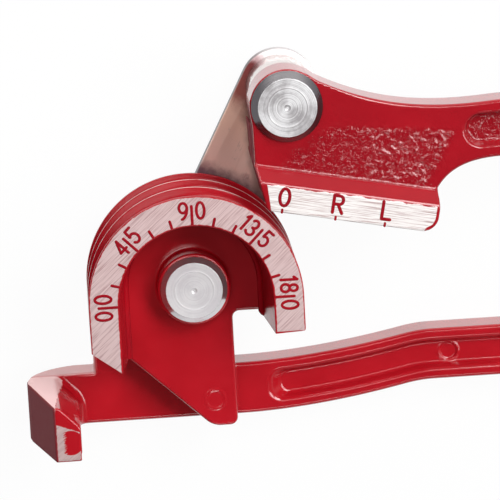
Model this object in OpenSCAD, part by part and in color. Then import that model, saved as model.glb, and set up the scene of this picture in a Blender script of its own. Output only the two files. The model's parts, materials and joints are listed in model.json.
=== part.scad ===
// Three-size lever tube bender. One casting holds the grooved forming wheel, its
// handle and the hook that holds the tube; a second casting is the lever with its
// grooved shoe; a link plate carries the lever round the wheel on two rivets.
// Millimetres. The tool lies on its back: +Z points out of the scale face, +X runs
// along the lower handle, and the origin is on the wheel's axis, level with the
// back of the handle.

/* [Tubes] */
// Outer diameter of the largest tube, in the groove next to the scale face
tube_large_d = 9.525; // [9:0.025:10.1]
// Outer diameter of the middle tube
tube_middle_d = 7.938; // [7.4:0.025:8.6]
// Outer diameter of the smallest tube, in the groove nearest the back
tube_small_d = 6.35; // [5.8:0.025:7]
// Play between a tube and its groove, on the radius
tube_play = 0.09; // [0.05:0.01:0.2]

/* [Forming wheel] */
// Bend radius, from the wheel's axis to the tube's centre line
bend_radius = 23.8; // [22.5:0.1:26]
// Thickness of the land in front of the largest groove
front_land = 0.9; // [0.6:0.1:1.4]
// Thickness of each land between two grooves
middle_land = 0.7; // [0.5:0.1:1.1]
// Thickness of the land behind the smallest groove
back_land = 1; // [0.8:0.1:1.4]
// Wall between the largest groove and the pocket
rim_wall = 1.85; // [1.4:0.05:2.4]
// Depth of the pocket in the scale face
pocket_depth = 18.5; // [15:0.5:20]
// How much narrower the pocket is at its floor, on the radius
pocket_draft = 1.6; // [1:0.1:3]
// Straight length of the wheel's leg below the axis, at the 0 end
leg_drop = 10.2; // [8:0.1:12]
// Drop of the leg's pointed tip below the axis
leg_tip_drop = 15.2; // [13.5:0.1:16.5]
// Straight length of the wheel's arm below the axis, at the 180 end
arm_drop = 8.3; // [7:0.1:10]
// Drop of the web's lower edge below the axis
web_drop = 6.9; // [5:0.1:7.5]
// Radius of the raised hub round the wheel's rivet
hub_r = 8.1; // [7.8:0.1:9]
// Height of that hub over the web
hub_h = 5.6; // [4:0.1:7]

/* [Lower handle] */
// Thickness of the handle, from its back to its front face
bar_t = 9; // [8.5:0.1:11]
// Height of the handle under the wheel
bar_h = 12.05; // [11:0.05:13]
// Height of the grip past the jog
grip_h = 11.9; // [11:0.05:13]
// Drop of the handle's upper face below the wheel's axis
bar_drop = 21.1; // [20:0.1:23]
// How far the handle runs to the right of the axis
handle_reach = 190; // [150:1:220]
// Rise of the jog between the straight part and the grip
jog_rise = 5.1; // [3:0.05:7]
// Distance of the jog's start from the axis
jog_start = 10.5; // [10:0.5:16]
// Length of the jog
jog_length = 40.8; // [30:0.1:50]
// How fast the jog steepens towards the grip
jog_curve = 1.8; // [1.4:0.05:2.4]
// Share of the rise over which the jog bends level again
jog_bend = 0.15; // [0.08:0.01:0.25]
// Distance of the recess from the axis
recess_start = 16.2; // [14:0.1:20]
// Width of the flanges above and below a recess
flange_w = 2.6; // [2:0.1:3.2]
// Depth of each recess
recess_depth = 2.6; // [1.5:0.1:3]
// Width of the leg's foot where it crosses the handle
foot_w = 7.6; // [6:0.1:9]
// Distance of the leg's right side from the axis
leg_side = 8.8; // [8.6:0.1:10]
// Distance of the neck's upper edge below the axis, clear of the link
neck_drop = 10.4; // [10.2:0.1:12]

/* [Tube hook] */
// Distance of the hook's outer end from the axis
hook_end = 38.5; // [37:0.1:42]
// Radius of the rounded back corner at that end
hook_round = 14; // [8:0.5:14]
// Width of the hook's front face
hook_face_w = 5.1; // [4:0.1:6]
// How far the hook's front face lies behind the scale face
hook_set_back = 1; // [0.5:0.1:3]
// Drop of the hook's upper face below the axis
hook_drop = 21.9; // [21.5:0.1:24]
// Height of the hook
hook_h = 12.5; // [11.5:0.1:14]
// Lead-in chamfer along the hook's upper inner edge
hook_chamfer = 5; // [3:0.1:6]
// Distance of the hook's inner face from the axis
hook_inner = 27.6; // [27.2:0.1:29]
// Radius of the filled corner between that face and the handle
hook_fillet = 2; // [1:0.1:2.6]

/* [Link] */
// Distance between the two rivets
link_length = 47.5; // [46:0.1:52]
// Half the link's width, the radius of its ends
link_half_w = 8.6; // [8:0.1:9.4]
// Thickness of the link plate
link_t = 4; // [3:0.1:4.5]
// Direction of the link from the handle's line, as it lies
link_angle = 62.1; // [50:0.1:80]

/* [Lever] */
// Direction of the shoe from the handle's line, as it lies
shoe_angle = -11.3; // [-14:0.1:-6]
// Thickness of the lever and its grip
lever_t = 10; // [8:0.1:12]
// How far the shoe's ground face stands in front of the lever
shoe_step = 3; // [1.5:0.1:4]
// Gap between the shoe and the wheel's lands when the lever is closed
shoe_gap = 0.8; // [0.5:0.1:1.5]
// Gap between the back of the shoe and the front of the lower handle
shoe_clear = 0.8; // [0.4:0.1:1.5]
// Length of the shoe past the lever's rivet
shoe_reach = 36.3; // [34:0.1:40]
// Height of the shoe's ground face
strip_h = 5.9; // [5:0.1:7]
// Height of the slope between that face and the lever
ledge_h = 3.1; // [2:0.1:4]
// Radius of the shoe's rounded lower corner
shoe_corner = 3.5; // [2:0.1:5]
// Radius of the lever's eye round its rivet
lever_eye_r = 8.15; // [8.1:0.05:9]
// Height of the lever's grip
lever_grip_h = 12.7; // [11:0.1:14]
// Angle of the grip from the shoe
grip_angle = 13.5; // [8:0.1:18]
// Length of the grip past the lever's waist
lever_reach = 124; // [90:1:150]
// Distance of the lever's recess from its rivet, along the shoe
lever_recess_start = 39.6; // [38:0.1:46]
// Thickness of the rib that carries the back of the shoe
rib_t = 4; // [3:0.1:6]

/* [Rivets and washers] */
// Diameter of the rivets' shanks
pin_d = 9; // [8:0.1:10]
// Radial play of a shank in the part that turns on it
running_play = 0.05; // [0.02:0.01:0.08]
// Radial play of a shank in the part that it is fixed to
fixed_play = 0.02; // [0.01:0.01:0.05]
// Play along each rivet on each side of the turning part
axial_play = 0.15; // [0.1:0.05:0.3]
// Face radius of the wheel's rivet head
wheel_face_r = 6.4; // [6:0.1:6.8]
// Outer radius of the wheel's rivet head
wheel_head_r = 7.5; // [7.1:0.1:7.7]
// Height of the wheel's rivet head
wheel_head_h = 1.5; // [1:0.1:3]
// Face radius of the lever's rivet head
lever_face_r = 6.55; // [6.1:0.05:7]
// Outer radius of the lever's rivet head
lever_head_r = 7.9; // [7.3:0.1:8.05]
// Height of the lever's rivet head
lever_head_h = 2.3; // [1:0.1:3.5]
// Thickness of the washers between the link and the castings
thrust_t = 0.8; // [0.5:0.1:1]
// Thickness of the washers under the rivets' upset ends
rear_t = 1; // [0.6:0.1:1.1]
// Outer radius of the washers
washer_r = 7.6; // [6.8:0.1:7.8]
// Outer radius of the spacer between the link and the lever
spacer_r = 7.5; // [6.5:0.1:7.8]
// Radius of the rivets' upset ends
tail_r = 6; // [5.2:0.1:6.5]

/* [Hidden] */
$fn = 64;

// Overlap of a cut past the face that it opens
over = 1;
// Least space between the smallest tube and the front of the handle
tube_lift = 0.15;
// Depth and radius of the shallow marks left by ejector pins
mark_depth = 0.3;
mark_r = 2.2;
// Distance of the handle's ejector mark past the jog
mark_gap = 4.8;
// Steps along a curved edge
curve_steps = 14;

red = "firebrick";
bright = "silver";

// Grooves, from the back to the front
groove_r = [tube_small_d/2 + tube_play, tube_middle_d/2 + tube_play, tube_large_d/2 + tube_play];
small_z = bar_t + tube_lift + groove_r[0];
middle_z = small_z + groove_r[0] + middle_land + groove_r[1];
large_z = middle_z + groove_r[1] + middle_land + groove_r[2];
groove_z = [small_z, middle_z, large_z];
land_z = small_z + groove_r[0] + middle_land/2;

// Levels of the wheel
back_z = bar_t - back_land;
front_z = large_z + groove_r[2] + front_land;
web_z = front_z - pocket_depth;
hub_z = web_z + hub_h;
pocket_r = bend_radius - groove_r[2] - rim_wall;
floor_r = pocket_r - pocket_draft;

// Levels of the link and its rivets
link_top = back_z - thrust_t - axial_play;
link_bottom = link_top - link_t;
pin_r = pin_d/2;

// Lever
link_end = [link_length*cos(link_angle), link_length*sin(link_angle)];
lever_front = front_z - shoe_step;
lever_back = lever_front - lever_t;
shoe_back = bar_t + shoe_clear;
shoe_drop = link_length - bend_radius - shoe_gap;
strip_top = shoe_drop - strip_h;
shoe_top = strip_top - ledge_h;

// Lever's outline, from its rivet along the shoe: middle of the waist, foot and top of
// the cheek's left edge, and how far the shoe's end leans back at its top
waist = [44.5, 0.8];
heel_x = -1;
cheek_x = -5;
toe_lean = 0.9;

// Pulls of the lever's curves: angle at which the hollow leaves the eye, its two pulls, how
// far the grip runs on past the waist, and the rise of the underside over the shoe's end
hollow_angle = 24;
hollow_pulls = [[18, 2.6], [30, 3.1]];
waist_run = 2.5;
toe_rise = 4.6;

// Lower handle
bar_bottom = bar_drop + bar_h;
hook_front = front_z - hook_set_back;

// Points of a curve of four control points
function bezier(a, b, c, d) = [for (i = [0 : curve_steps]) let (t = i/curve_steps, s = 1 - t)
    s*s*s*a + 3*s*s*t*b + 3*s*t*t*c + t*t*t*d];

// Rise of the handle's middle line at x: level, then steeper and steeper, then a short bend to level
function jog_share(x) = let (a = pow(max(0, (x - jog_start)/jog_length), jog_curve),
    h = max(0, 1 - abs(a - 1)/jog_bend)) min(a, 1) - h*h*jog_bend/4;

// Half the handle's height at x
function bar_half(x) = (bar_h + (grip_h - bar_h)*jog_share(x))/2;

// The handle's middle line at x
function bar_mid(x) = -bar_drop - bar_h/2 + jog_rise*jog_share(x);

// Stations along the handle, closest together in the jog's bend
function bar_stations(from, to) = concat([from],
    [for (i = [0 : curve_steps])
        let (x = jog_start + (1 + jog_bend)*jog_length*(1 - pow(1 - i/curve_steps, 1.5)))
        if (x > from + 0.5) x], [to]);

// Band that follows the handle between two stations, inset from its upper and lower edges
module bar_band(from, to, inset) {
    stations = bar_stations(from, to);
    upper = [for (x = stations) [x, bar_mid(x) + bar_half(x) - inset]];
    lower = [for (i = [len(stations) - 1 : -1 : 0])
        [stations[i], bar_mid(stations[i]) - bar_half(stations[i]) + inset]];
    polygon(concat(upper, lower));
}

// Slot shape: a bar with round ends, from the origin along x
module slot(length, r) {
    circle(r);
    translate([length, 0]) circle(r);
    translate([0, -r]) square([length, 2*r]);
}

// Half disc on the upper side of the x axis
module upper_half(r) {
    intersection() {
        circle(r);
        translate([-r, 0]) square([2*r, r]);
    }
}

// Outline of the wheel's lands: a half disc with a pointed leg and a short arm
module land_outline() {
    tip_slope = (leg_tip_drop - leg_drop)/(bend_radius - pocket_r);
    inner_x = floor_r - over;
    upper_half(bend_radius);
    polygon([[-bend_radius, 0], [-bend_radius, -leg_drop],
        [-inner_x, -leg_drop - tip_slope*(bend_radius - inner_x)], [-inner_x, 0]]);
    translate([inner_x, -arm_drop]) square([bend_radius - inner_x, arm_drop]);
}

// Web, leg and foot in front of the handle
module leg_outline() {
    inner_x = floor_r - over;
    polygon([[-bend_radius, 0], [-inner_x, -leg_tip_drop - over], [leg_side - foot_w, -bar_bottom],
        [leg_side, -bar_bottom], [leg_side, -web_drop], [floor_r + over, -web_drop], [floor_r + over, 0]]);
}

// Neck that joins the wheel to the handle, behind the tubes
module neck_outline() {
    polygon([[-bend_radius, -neck_drop], [leg_side, -neck_drop], [leg_side, -bar_drop - over],
        [-bend_radius, -bar_drop - over]]);
}

// Plan of the handle's outer end and the hook, seen along the handle's height
module hook_plan() {
    difference() {
        polygon([[-hook_end, 0], [-hook_end, hook_round], [-hook_inner - hook_face_w, hook_front],
            [-hook_inner, hook_front], [-hook_inner, bar_t + hook_fillet], [hook_fillet - hook_inner, bar_t],
            [hook_fillet - hook_inner, 0]]);
        hook_corner();
    }
    difference() {
        translate([-hook_inner - over, bar_t - over]) square(hook_fillet + over);
        translate([hook_fillet - hook_inner, bar_t + hook_fillet]) circle(hook_fillet);
    }
}

// What the rounded back corner takes away, in the same plan
module hook_corner() {
    difference() {
        translate([-hook_end - over, -over]) square(hook_round + over);
        translate([hook_round - hook_end, hook_round]) circle(hook_round);
    }
}

// Raises a plan by height, downwards from the level y
module along_y(y, height) {
    translate([0, y, 0]) rotate([90, 0, 0]) linear_extrude(height) children();
}

// Carries a plan of heights and levels along x
module along_x(x, length) {
    translate([x, 0, 0]) rotate([90, 0, 90]) linear_extrude(length) children();
}

// The block that hooks round the tube, with its lead-in chamfer
module hook_block() {
    difference() {
        along_y(-hook_drop, hook_h) hook_plan();
        translate([-hook_inner, -hook_drop, bar_t]) rotate([0, 0, -45])
            translate([-bar_h, -hook_chamfer/sqrt(2), 0]) cube([2*bar_h, bar_h, front_z]);
    }
}

// The straight handle, its jog and its grip, with a recess on both faces
module handle_bar() {
    grip_end_r = grip_h/2;
    recess_end = handle_reach - grip_end_r - flange_w;
    difference() {
        union() {
            linear_extrude(bar_t) bar_band(-hook_end, handle_reach - grip_end_r, 0);
            translate([handle_reach - grip_end_r, bar_mid(handle_reach), 0]) cylinder(r = grip_end_r, h = bar_t);
        }
        along_y(0, bar_bottom + over) hook_corner();
        for (z = [-over, bar_t - recess_depth])
            translate([0, 0, z]) linear_extrude(recess_depth + over) recess_outline(recess_end);
    }
}

// Recess of the handle: a band with rounded ends
module recess_outline(end) {
    corner = flange_w;
    bar_band(recess_start + corner, end, flange_w);
    for (side = [-1, 1])
        translate([recess_start + corner,
            bar_mid(recess_start + corner) + side*(bar_half(recess_start + corner) - flange_w - corner)])
            circle(corner);
    translate([recess_start, bar_mid(recess_start) - bar_half(recess_start) + flange_w + corner])
        square([corner + over, bar_h - 2*(flange_w + corner)]);
    translate([end, bar_mid(end)]) circle(grip_h/2 - flange_w);
}

// Tube grooves of the wheel: round its upper half and straight down both sides
module wheel_grooves() {
    for (i = [0 : 2]) translate([0, 0, groove_z[i]]) {
        rotate_extrude(angle = 180) translate([bend_radius, 0]) circle(groove_r[i]);
        for (side = [-1, 1])
            translate([side*bend_radius, 0, 0]) rotate([90, 0, 0]) cylinder(r = groove_r[i], h = bar_drop);
    }
}

// The same grooves where the tubes pass the hook
module hook_grooves() {
    for (i = [0 : 2])
        translate([-bend_radius, -bar_drop, groove_z[i]]) rotate([90, 0, 0])
            cylinder(r = groove_r[i], h = hook_h + 2*over);
}

// Pocket in the scale face, open between the leg and the arm
module wheel_pocket() {
    translate([0, 0, web_z]) cylinder(r1 = floor_r, r2 = pocket_r, h = pocket_depth);
    along_y(0, bar_bottom)
        polygon([[-floor_r, web_z], [floor_r, web_z], [pocket_r, front_z], [-pocket_r, front_z]]);
}

// Sunk mark of an ejector pin on a face at z
module ejector_mark(x, y, z) {
    translate([x, y, z - mark_depth]) cylinder(r = mark_r, h = mark_depth + over);
}

// The wheel's lands, web and hub, without grooves
module wheel_blank() {
    difference() {
        translate([0, 0, back_z]) linear_extrude(front_z - back_z) land_outline();
        wheel_pocket();
    }
    translate([0, 0, back_z]) linear_extrude(web_z - back_z) {
        upper_half(bend_radius - groove_r[0]);
        leg_outline();
    }
    translate([0, 0, back_z]) cylinder(r = hub_r, h = hub_z - back_z);
}

// Space of the handle and the neck, below the wheel and behind the handle's front face
module handle_space() {
    translate([-handle_reach, -handle_reach - neck_drop, -over])
        cube([2*handle_reach, handle_reach, bar_t + over]);
}

// The wheel with its leg. The wheel, the handle and the hook are one casting, parted at
// flat and round faces so that each node is a simple solid.
module wheel_casting() {
    difference() {
        wheel_blank();
        wheel_grooves();
        handle_space();
        cylinder(r = pin_r + fixed_play, h = 2*front_z, center = true);
        ejector_mark(leg_side - foot_w + mark_r, foot_w - bar_bottom, web_z);
    }
}

// Space of the wheel's rim: round the pocket, in front of the smallest groove
module rim_space() {
    difference() {
        translate([-2*bend_radius, -2*bend_radius, land_z])
            cube([4*bend_radius, 4*bend_radius, front_z]);
        cylinder(r = floor_r, h = 2*front_z);
        translate([-floor_r, -3*bend_radius, 0]) cube([2*floor_r, 3*bend_radius, 2*front_z]);
    }
}

// Rim with the scale face and the two larger grooves
module wheel_rim() {
    color(red) intersection() {
        wheel_casting();
        rim_space();
    }
}

// Web with the hub, the leg and the smallest groove
module wheel_web() {
    color(red) difference() {
        wheel_casting();
        rim_space();
    }
}

// The handle, with the neck under the wheel and the root of the hook
module lower_handle() {
    mark_x = jog_start + jog_length + mark_gap + mark_r;
    color(red) difference() {
        union() {
            handle_bar();
            linear_extrude(bar_t) neck_outline();
            intersection() {
                hook_block();
                handle_space();
            }
        }
        ejector_mark(mark_x, bar_mid(mark_x), bar_t - recess_depth);
    }
}

// The hook in front of the handle
module tube_hook() {
    color(red) difference() {
        hook_block();
        hook_grooves();
        handle_space();
    }
}

// Outline of the lever in front: eye, cheek, waist and grip, from its rivet along the shoe
module lever_outline() {
    eye_leave = (lever_eye_r - over/5)*[sin(hollow_angle), cos(hollow_angle)];
    grip_line = [cos(grip_angle), sin(grip_angle)];
    grip_side = lever_grip_h/2*[-sin(grip_angle), cos(grip_angle)];
    grip_end = waist + (lever_reach - lever_grip_h/2)*grip_line;
    hollow = bezier(eye_leave, hollow_pulls[0], hollow_pulls[1], waist + grip_side + waist_run*grip_line);
    underside = bezier(waist - grip_side + waist_run*grip_line, waist - grip_side - 2*waist_run*grip_line,
        [shoe_reach + toe_lean, toe_rise - shoe_top], [shoe_reach - toe_lean, -shoe_top]);
    circle(lever_eye_r);
    polygon(concat([[0, 0]], hollow, [grip_end + grip_side, grip_end - grip_side], underside,
        [[shoe_reach - toe_lean, -shoe_drop], [heel_x, -shoe_drop], [cheek_x, -shoe_top], [over/5 - lever_eye_r, 0]]));
    translate(grip_end) circle(lever_grip_h/2);
}

// Outline of the shoe, square to the tubes
module shoe_outline() {
    polygon([[heel_x, -shoe_drop], [cheek_x, -shoe_top], [shoe_reach - toe_lean, -shoe_top],
        [shoe_reach, -strip_top], [shoe_reach, -shoe_drop + shoe_corner],
        [shoe_reach - shoe_corner, -shoe_drop]]);
    translate([shoe_reach - shoe_corner, -shoe_drop + shoe_corner]) circle(shoe_corner);
}

// Rib behind the cheek, from the shoe towards the eye
module rib_outline() {
    rib_x = -lever_eye_r + over/2;
    rib_top = -lever_eye_r/2;
    difference() {
        polygon([[heel_x, -shoe_drop], [cheek_x, -shoe_top], [rib_x, rib_top], [rib_x + rib_t, rib_top],
            [cheek_x + rib_t, -shoe_top], [heel_x + rib_t, -shoe_drop]]);
        circle(spacer_r + 2*over);
    }
}

// What lies in front of the slope between the ground face and the lever
module ledge_cut() {
    polygon([[-strip_top, front_z], [-shoe_top, lever_front], [0, lever_front], [0, front_z + over],
        [-strip_top, front_z + over]]);
}

// Casting of the lever, drawn from its rivet along the shoe
module lever_casting() {
    difference() {
        union() {
            translate([0, 0, lever_back]) linear_extrude(lever_t) lever_outline();
            translate([0, 0, shoe_back]) linear_extrude(front_z - shoe_back) shoe_outline();
            translate([0, 0, shoe_back]) linear_extrude(lever_back + over - shoe_back) rib_outline();
        }
        along_x(-shoe_reach, 3*shoe_reach) ledge_cut();
        for (i = [0 : 2])
            translate([-shoe_reach, -shoe_drop - shoe_gap, groove_z[i]]) rotate([0, 90, 0])
                cylinder(r = groove_r[i], h = 3*shoe_reach);
        cylinder(r = pin_r + running_play, h = 2*front_z);
        for (z = [lever_back - over, lever_front - recess_depth])
            translate([0, 0, z]) linear_extrude(recess_depth + over) lever_recess();
    }
}

// Recess along the lever's grip
module lever_recess() {
    r = lever_grip_h/2 - flange_w;
    lead = lever_recess_start - waist[0] + r;
    translate(waist) rotate(grip_angle) translate([lead, 0])
        slot(lever_reach - lever_grip_h/2 - lead, r);
}

// Puts a piece drawn round the lever's rivet in its place
module at_lever() {
    translate([link_end[0], link_end[1], 0]) rotate(shoe_angle) children();
}

module lever() {
    color(red) at_lever() lever_casting();
}

// Flat steel link between the two rivets
module link_plate() {
    color(bright) translate([0, 0, link_bottom]) rotate(link_angle) difference() {
        linear_extrude(link_t) slot(link_length, link_half_w);
        translate([0, 0, -over]) cylinder(r = pin_r + running_play, h = link_t + 2*over);
        translate([link_length, 0, -over]) cylinder(r = pin_r + fixed_play, h = link_t + 2*over);
    }
}

// Rivet: upset end, shank and a bevelled head with a centre dimple, turned about its axis
module rivet(seat_z, head_r, face_r, head_h, tail_z) {
    rim = 0.3;
    dimple_r = 0.6;
    tail_bevel = 0.5;
    color(bright) rotate_extrude() polygon([[0, 0], [tail_r - tail_bevel, 0], [tail_r, tail_bevel],
        [tail_r, tail_z], [pin_r, tail_z], [pin_r, seat_z], [head_r, seat_z], [head_r, seat_z + rim],
        [face_r, seat_z + head_h], [dimple_r, seat_z + head_h], [0, seat_z + head_h - dimple_r/2]]);
}

module wheel_pivot_rivet() {
    rivet(hub_z, wheel_head_r, wheel_face_r, wheel_head_h, link_bottom - axial_play - rear_t);
}

module lever_pivot_rivet() {
    at_lever() rivet(lever_front + axial_play, lever_head_r, lever_face_r, lever_head_h, link_bottom - rear_t);
}

// Ring on a rivet's shank, from z upwards
module washer(z, thickness, r) {
    color(bright) translate([0, 0, z]) difference() {
        cylinder(r = r, h = thickness);
        translate([0, 0, -over]) cylinder(r = pin_r + fixed_play, h = thickness + 2*over);
    }
}

module lever_spacer() {
    at_lever() washer(link_top, lever_back - axial_play - thrust_t - link_top, spacer_r);
}

module wheel_thrust_washer() {
    washer(back_z - thrust_t, thrust_t, washer_r);
}

module wheel_rear_washer() {
    washer(link_bottom - axial_play - rear_t, rear_t, washer_r);
}

module lever_thrust_washer() {
    at_lever() washer(lever_back - axial_play - thrust_t, thrust_t, washer_r);
}

module lever_rear_washer() {
    at_lever() washer(link_bottom - rear_t, rear_t, washer_r);
}

wheel_rim();
wheel_web();
lower_handle();
tube_hook();
lever();
link_plate();
wheel_pivot_rivet();
lever_pivot_rivet();
lever_spacer();
wheel_thrust_washer();
wheel_rear_washer();
lever_thrust_washer();
lever_rear_washer();
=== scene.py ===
"""Looks of a three-size lever tube bender: a red die-cast wheel with its handle and hook, a red lever
with a grooved shoe, and a bright link with two rivets.

Shapes are worked out in millimetres in the CAD frame and put into the meshes in metres: Z is the
wheel's axis, X runs along the lower handle, and the scale face looks along +Z.
"""
import json
import math

import bmesh
import bpy
import numpy as np
from mathutils import Euler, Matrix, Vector


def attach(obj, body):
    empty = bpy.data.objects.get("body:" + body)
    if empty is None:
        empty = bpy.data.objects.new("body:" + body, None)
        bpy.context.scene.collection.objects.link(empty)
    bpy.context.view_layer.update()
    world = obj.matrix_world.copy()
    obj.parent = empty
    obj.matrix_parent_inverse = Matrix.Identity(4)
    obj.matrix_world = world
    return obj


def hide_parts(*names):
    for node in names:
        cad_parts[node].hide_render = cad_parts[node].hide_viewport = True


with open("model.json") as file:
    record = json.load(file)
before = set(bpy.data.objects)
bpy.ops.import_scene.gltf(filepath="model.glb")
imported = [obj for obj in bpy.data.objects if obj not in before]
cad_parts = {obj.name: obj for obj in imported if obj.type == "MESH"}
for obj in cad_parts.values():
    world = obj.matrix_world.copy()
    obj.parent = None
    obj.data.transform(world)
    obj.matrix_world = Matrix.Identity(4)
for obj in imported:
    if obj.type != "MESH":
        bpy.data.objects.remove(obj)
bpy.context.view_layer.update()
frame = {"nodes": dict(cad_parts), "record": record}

MM = 0.001

# Wheel: level and radius of each groove, from the scale face to the back
BEND_R = 23.8
GROOVES = ((30.0505, 4.8525), (20.439, 4.059), (12.415, 3.265))
FRONT_Z = 35.803
BACK_Z = 8.0
WEB_Z = 17.303
POCKET_R = 17.0975
FLOOR_R = 15.4975
FLOOR_EDGE_R = 14.5
LEG_DROP = 10.2
LEG_SLOPE = 0.746
ARM_DROP = 8.3
WEB_DROP = 6.9
WEB_R = 18.8
HUB_R = 8.1
HUB_Z = 22.903

# Leg's foot: its corner, then a point and the facing of its slanted edge and of the leg's edge above
FOOT_CORNER = (8.6, -33.4)
FOOT_SLANT = ((-6.54, -24.6), (-16.43, -17.53))
LEG_EDGE = ((-15.3, -16.4), (-16.6, -8.2))
LEG_TOP = 1.0
FOOT_MARK = (3.64, -27.13)
MARK_R = 2.2

# Lower handle and hook
BAR_T = 9.0
BAR_MID = -27.125
BAR_HALF = 6.025
GRIP_HALF = 5.95
JOG_START = 10.5
JOG_LENGTH = 40.8
JOG_RISE = 5.1
JOG_CURVE = 1.8
JOG_BEND = 0.15
GRIP_END = 190.0 - GRIP_HALF
RECESS_START = 16.8
RECESS_DEPTH = 2.6
FLANGE = 2.6
DRAFT = 0.3
NECK_X = (-23.4, 8.0)
NECK_Y = (-22.0, -10.4)
HOOK_END = -38.9
HOOK_ROUND = 14.0
HOOK_FACING = (-20.8, 5.8)
HOOK_RAKE = 0.28
HOOK_FRONT = 34.803
HOOK_TOP = -21.9
HOOK_BOTTOM = -34.8
HOOK_CHAMFER = 5.0
HOOK_INNER = -27.2
HOOK_FILLET = 2.0
HOOK_STEP = 0.15
HOOK_LEAN = 0.04
GRIP_MARK = (58.3, -22.0)

# Lever, drawn from its rivet along the shoe
LEVER_AT = np.array([22.2265, 41.979])
SHOE_ANGLE = math.radians(-11.3)
LEVER_BACK = 22.803
LEVER_FRONT = 32.803
EYE_R = 8.15
LEVER_BORE = 4.55
SHOE_BACK = 9.8
SHOE_DROP = 23.15
SHOE_TOP = 13.9
STRIP_TOP = 17.0
SHOE_REACH = 36.7
SHOE_CORNER = 3.5
SHOE_AXIS = -23.7
HEEL_X = -1.0
HEEL_FACING = (-9, -4)
CHEEK_X = -5.0
CHEEK_FACING = (-9.8, -2.6)
STRIP_X = -3.6
TOE_LEAN = 0.9
TOE_FACING = (3.1, 0.9)
LEDGE_FACING = (3.0, 3.1)
EYE_LEAVE = math.radians(24)
HOLLOW = ((18, 2.6), (30, 3.1))
WAIST = np.array([44.5, 0.8])
LEVER_HALF = 6.35
GRIP_ANGLE = math.radians(13.5)
GRIP_REACH = 124.0 - LEVER_HALF
LEVER_RECESS_LEAD = -1.15
RIB = 4.0
RIB_TOP = -4.0
RIB_EYE_R = 9.5

# Link, from the wheel's rivet to the lever's
LINK_ANGLE = math.radians(62.1)
LINK_LENGTH = 47.5
LINK_HALF = 8.6
LINK_TOP = 7.05

# Rivets: seat, head, face and height of each head, and the top of its upset end
WHEEL_RIVET = {"seat": HUB_Z, "head": 7.5, "face": 6.4, "height": 1.5, "tail_top": 1.9}
LEVER_RIVET = {"seat": 32.953, "head": 7.9, "face": 6.55, "height": 2.3, "tail_top": 2.05}
PIN_R = 4.5
TAIL_R = 6.0

# Lattices of the castings' skins: runs of (from, to, cell) along each axis, with finer cells in the folds of
# the lever and longer ones along both grips
CASTING_LATTICE = (
    ((-39.4, 62, 0.4), (62, 191.5, 1.2)),
    ((-35.4, 20, 0.4),),
    ((-0.61, 36, 0.4),),
)
LEVER_LATTICE = (
    ((-9.3, 0, 0.4), (0, 42, 0.3), (42, 46, 0.4), (46, 169, 1.0)),
    ((-23.9, -15, 0.4), (-15, 2, 0.3), (2, 38, 0.4)),
    ((9.31, 36.5, 0.4),),
)

# Marks: width of the scale's strokes, of the letters and of the ticks under them
SCALE_WIDTH = 0.66
LETTER_WIDTH = 0.75
TICK_WIDTH = 0.55

# Ground and rubbed parts of the hook: a falling line over its front, its sides, its mark and its top
HOOK_LINE = (-31.5, -26.2)
HOOK_FALL = 0.38
HOOK_SIDES = (-33.0, -27.6)
HOOK_DISC = (-29.6, -30.4)
HOOK_DISC_R = 2.75
HOOK_HATCH = -32.6
RUBBED_TO = -30.7
RUBBED_LEAN = 0.078

# Other bare, folded and shaded parts: levels of the pale land tips, facing and place of the strip's ground
# edge at its heel, a point and the lean of each edge of the cheek's folds and of the link's painted shade,
# and its top
TIP_LEVELS = (14.0, FRONT_Z - 4)
STRIP_FACING = (9, 2.8)
STRIP_EDGE = 3.8
FOLDS_LEFT = (0.0, -13.2, 0.956)
FOLDS_RIGHT = (38.6, -2.4, 0.31)
FOLDS_TOP = (16.6, -1.5, 0.109)
SHADE_FROM = (13.7, 39.6, 0.083)
SHADE_TOP = 41.0

# Slant of the hairline scratches, and the faint step on a rivet's face
BRUSH_ANGLE = math.radians(42)
FACE_STEP_R = 4.4

# Colours
RED = (0.48, 0.007, 0.016, 1)
DEEP_RED = (0.42, 0.005, 0.012, 1)
LEVER_REDS = ((0.34, 0.005, 0.012, 1), (0.39, 0.006, 0.014, 1))
MARK_RED = (0.27, 0.004, 0.012, 1)
WHEEL_REDS = ((0.33, 0.004, 0.011, 1), (0.42, 0.005, 0.013, 1))
RING_GROUND = ((0.67, 0.50, 0.495, 1),)*2
STRIP_GROUND = ((0.92, 0.88, 0.86, 1),)*2
# Hook's bare metal: the rubbed top, whose paler pink is partly painted light on its up-facing face, then the
# ground front
HOOK_LIT_TOP_AND_GROUND = ((0.91, 0.61, 0.60, 1), (0.58, 0.42, 0.41, 1))
STAIN = (0.38, 0.22, 0.22, 1)
# Darker red of the matt left-facing sides: painted shade
MATT_SHADE_RED = (0.19, 0.012, 0.02, 1)
FOLD_RED = (0.28, 0.004, 0.01, 1)
# Link's tints along it: the plating's tan in the middle; the dark near the wheel, the dark red-brown towards
# the lever's eye and the pale far end are painted reflections and shade
LINK_TINTS_AND_PAINTED_LIGHT = ((22.5, (0.16, 0.08, 0.10, 1)), (27, (0.84, 0.55, 0.47, 1)), (37, (0.88, 0.56, 0.44, 1)),
              (43, (0.31, 0.085, 0.07, 1)), (49.2, (0.20, 0.04, 0.04, 1)), (51.6, (0.60, 0.40, 0.41, 1)),
              (53.6, (0.92, 0.85, 0.85, 1)))
# Near black of the link's cut sides: painted shade
LINK_SIDE_SHADE = (0.02, 0.015, 0.015, 1)
# Dark band on the link along the lever's edge: painted shade
LINK_SHADE = (0.13, 0.055, 0.05, 1)
SPACER_TINTS = ((0, (0.80, 0.76, 0.74, 1)), (40, (0.74, 0.68, 0.65, 1)))
BRIGHT = (0.80, 0.79, 0.80, 1)
PALE = (0.66, 0.64, 0.66, 1)
GREY = (0.34, 0.32, 0.33, 1)
DARK = (0.12, 0.11, 0.12, 1)
MATT_WHITE = (0.85, 0.85, 0.85, 1)
WHITE = (1, 1, 1, 1)

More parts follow.
